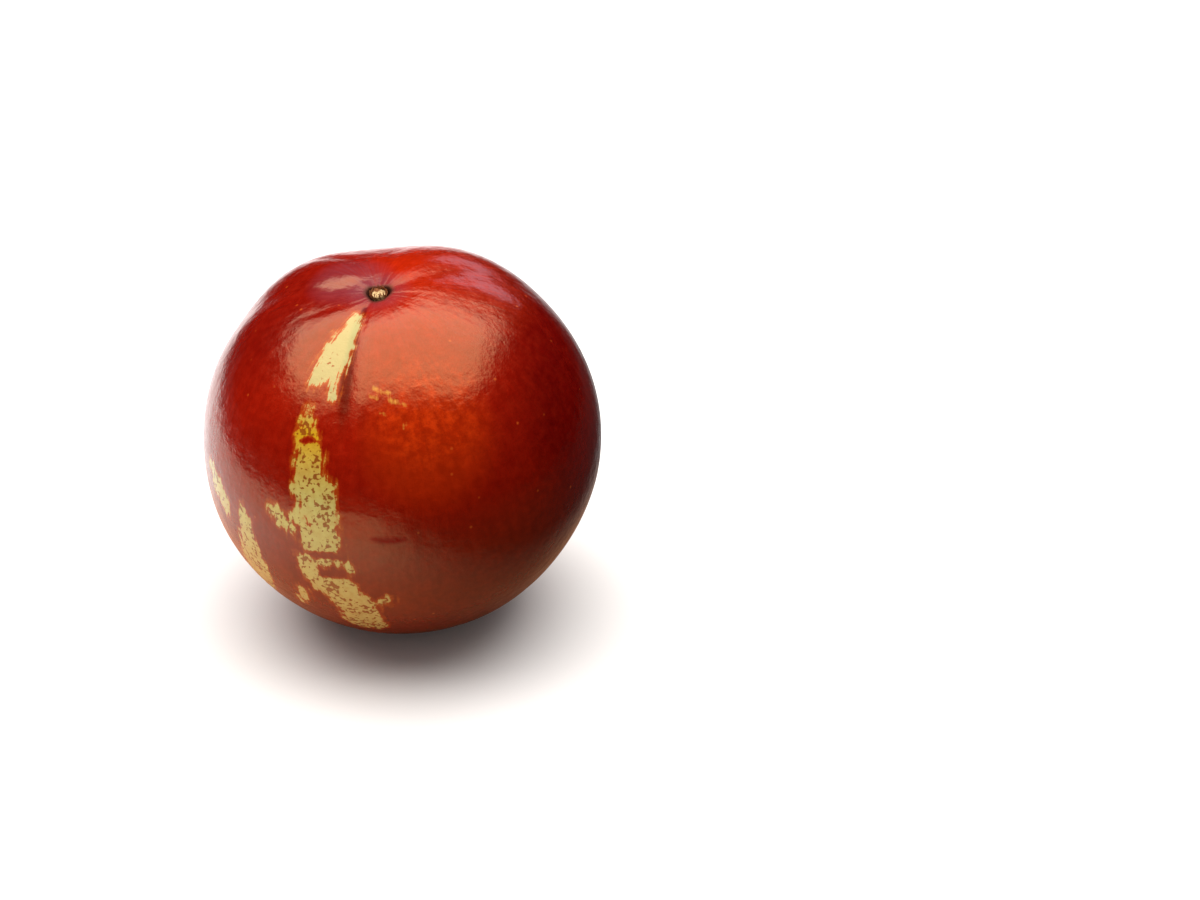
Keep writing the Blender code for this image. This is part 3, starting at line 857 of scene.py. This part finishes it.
# %% Studio: the paper that the fruit sees
DARKER = {"From Min": 0.0, "From Max": 0.036, "To Min": 0.84, "To Max": 0.02}  # metres to the right
SLANTS = (-0.28, -0.10)  # how the dark side's edge slants in front of the fruit, and behind it
BEHIND = 0.45  # what a metre behind the fruit counts for
ENDING = {"From Min": 0.09, "From Max": 0.125, "To Min": 1.0, "To Max": 0.05}
RED_BOUNCE_REACH = {"From Min": 0.018, "From Max": 0.046}
PAINTED_RED_BOUNCE = "#e8a880"
rightwards, rearwards, _ = add(nodes, "ShaderNodeSeparateXYZ", {0: coords.outputs["Object"]}).outputs
slants = [add(nodes, MATH, {0: rearwards, 1: steepness}, operation="MULTIPLY") for steepness in SLANTS]
slant = add(nodes, MATH, {0: slants[0], 1: slants[1]}, operation="MAXIMUM")
to_right = add(nodes, MATH, {0: rightwards, 1: slant}, operation="ADD")
shade = add(nodes, RAMP, {"Value": to_right, **DARKER}, **SMOOTH)
shortened = add(nodes, MATH, {0: rearwards, 1: BEHIND}, operation="MULTIPLY")
shortened = add(nodes, MATH, {0: rearwards, 1: shortened}, operation="MINIMUM")
shortened = add(nodes, "ShaderNodeCombineXYZ", {0: rightwards, 1: shortened})
shortened = add(nodes, VECTOR, {0: shortened}, operation="LENGTH").outputs["Value"]
ending = add(nodes, RAMP, {"Value": shortened, **ENDING}, **SMOOTH)
shade = add(nodes, MATH, {0: shade, 1: ending}, operation="MULTIPLY")
# painted red bounce light on the paper close to the fruit
away = add(nodes, RAMP, {"Value": reach, **RED_BOUNCE_REACH}, **SMOOTH)
grey = add(nodes, MIX, {"Factor": away, "A": linear(PAINTED_RED_BOUNCE), "B": linear(WHITE)}, data_type="RGBA")
grey = add(nodes, VECTOR, {0: grey.outputs[2], "Scale": shade}, operation="SCALE")
grey_paper = add(nodes, "ShaderNodeBsdfDiffuse", {"Color": grey})
by_camera = add(nodes, "ShaderNodeLightPath").outputs["Is Camera Ray"]
blend = add(nodes, "ShaderNodeMixShader", {0: by_camera, 1: grey_paper, 2: seen_paper})
add(nodes, "ShaderNodeOutputMaterial", {"Surface": blend})
floor_mesh.materials.append(paper)
print("the paper has", len(nodes.nodes), "nodes")

# %% [markdown]
# The world works the same way. The camera sees white. The fruit stands in a room that is almost black,
# which keeps the red deep, with one large soft card low behind it that puts a lilac sheen on the far
# shoulder. Matt surfaces get more of the room's light than glossy ones, so that no shadow is black.

# %% Studio: the room and the card
CARD = ((0.25, 0.90, 0.33), (0.21, 0.60, 0.12), 1.8)  # direction, half-widths and brightness
LILAC = "#e8d4f4"
ROOM = (0.30, 0.006)  # how much the room lights evenly, and how much of it the skin mirrors
world = bpy.data.worlds.new("white_studio")
bpy.context.scene.world = world
world.use_nodes = True
nodes = world.node_tree
nodes.nodes.clear()
looking = add(nodes, "ShaderNodeTexCoord").outputs["Generated"]
from_card = add(nodes, VECTOR, {0: looking, 1: CARD[0]}, operation="SUBTRACT")
from_card = add(nodes, VECTOR, {0: from_card, 1: CARD[1]}, operation="DIVIDE")
from_card = add(nodes, VECTOR, {0: from_card}, operation="LENGTH").outputs["Value"]
card = add(nodes, RAMP, {"Value": from_card, "From Min": 1.3, "From Max": 0.5, "To Max": CARD[2]}, **SMOOTH)
ray = add(nodes, "ShaderNodeLightPath").outputs
dim = add(nodes, MATH, {0: ray["Is Diffuse Ray"], 1: ROOM[0], 2: ROOM[1]}, operation="MULTIPLY_ADD")
room = add(nodes, MATH, {0: card, 1: dim}, operation="ADD")
tint = add(nodes, MIX, {"Factor": card, "A": linear(WHITE), "B": linear(LILAC)}, data_type="RGBA")
felt = add(nodes, "ShaderNodeBackground", {"Color": tint.outputs[2], "Strength": room})
seen = add(nodes, "ShaderNodeBackground", {"Color": linear(WHITE), "Strength": 1.0})
background = add(nodes, "ShaderNodeMixShader", {0: ray["Is Camera Ray"], 1: felt, 2: seen})
add(nodes, "ShaderNodeOutputWorld", {"Surface": background})
print("the card is", CARD[2], "times as bright as the white that the camera sees")

# %% [markdown]
# The soft light is a panel that fades out towards its edges, as cloth over a lamp does. A plain area
# light would draw a hard rectangle on the wax. Parametric coordinates run from 0 to 1 across the panel.

# %% Studio: the soft light
SOFTBOX = ((-0.07, 0.115, 0.62), 1.44, 1.10, 23.3)  # place, width, depth and power in watts
EDGE = 0.5  # from the panel's middle, as a share of its size
FULL = (0.29, 0.20)  # how far from the middle the panel is fully bright, across and along
lamp = bpy.data.lights.new("softbox", "AREA")
lamp.shape = "RECTANGLE"
lamp.size, lamp.size_y, lamp.energy = SOFTBOX[1:]
lamp.use_nodes = True
nodes = lamp.node_tree
nodes.nodes.clear()
across_panel = add(nodes, "ShaderNodeNewGeometry").outputs["Parametric"]
from_middle = add(nodes, VECTOR, {0: across_panel, 1: (0.5, 0.5, 0.0)}, operation="SUBTRACT")
from_middle = add(nodes, VECTOR, {0: from_middle}, operation="ABSOLUTE")
fades = []
for outwards, full in zip(add(nodes, "ShaderNodeSeparateXYZ", {0: from_middle}).outputs, FULL):
    edges = {"Value": outwards, "From Min": EDGE, "From Max": full}
    fades.append(add(nodes, RAMP, edges, **SMOOTH))
fade = add(nodes, MATH, {0: fades[0], 1: fades[1]}, operation="MULTIPLY")
panel = add(nodes, "ShaderNodeEmission", {"Color": linear(WHITE), "Strength": fade})
add(nodes, "ShaderNodeOutputLight", {"Surface": panel})
softbox = bpy.data.objects.new("softbox", lamp)
softbox.location = SOFTBOX[0]
bpy.context.scene.collection.objects.link(softbox)
print("the panel is", lamp.size, "by", round(lamp.size_y, 2), "m")

# %% [markdown]
# The camera looks down at the fruit by 31 degrees from about a third of a metre, with a long lens, and
# the fruit stands left of the middle, as in the photograph.

# %% Camera
LENS = 100.0
DISTANCE = 0.333
ELEVATION = math.radians(31.0)
PAN = (19.7 * MM, -1.1 * MM)  # how far the camera moves right and up from looking straight at the fruit
camera = bpy.data.objects.new("camera", bpy.data.cameras.new("camera"))
camera.data.lens = LENS
camera.rotation_euler = (math.pi / 2 - ELEVATION, 0.0, 0.0)
back = Vector((0.0, -math.cos(ELEVATION), math.sin(ELEVATION)))
up = Vector((0.0, math.sin(ELEVATION), math.cos(ELEVATION)))
camera.location = Vector((PAN[0], 0.0, CENTRE_HEIGHT)) + up * PAN[1] + back * DISTANCE
bpy.context.scene.collection.objects.link(camera)
bpy.context.scene.camera = camera
bpy.context.scene.view_settings.view_transform = "Standard"
print("the camera stands at", [round(v, 3) for v in camera.location])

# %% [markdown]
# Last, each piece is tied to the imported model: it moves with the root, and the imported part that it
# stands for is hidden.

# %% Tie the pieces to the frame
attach(fruit_skin, "root")
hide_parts("fruit")
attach(stub_torn, "root")
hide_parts("stalk_stub")
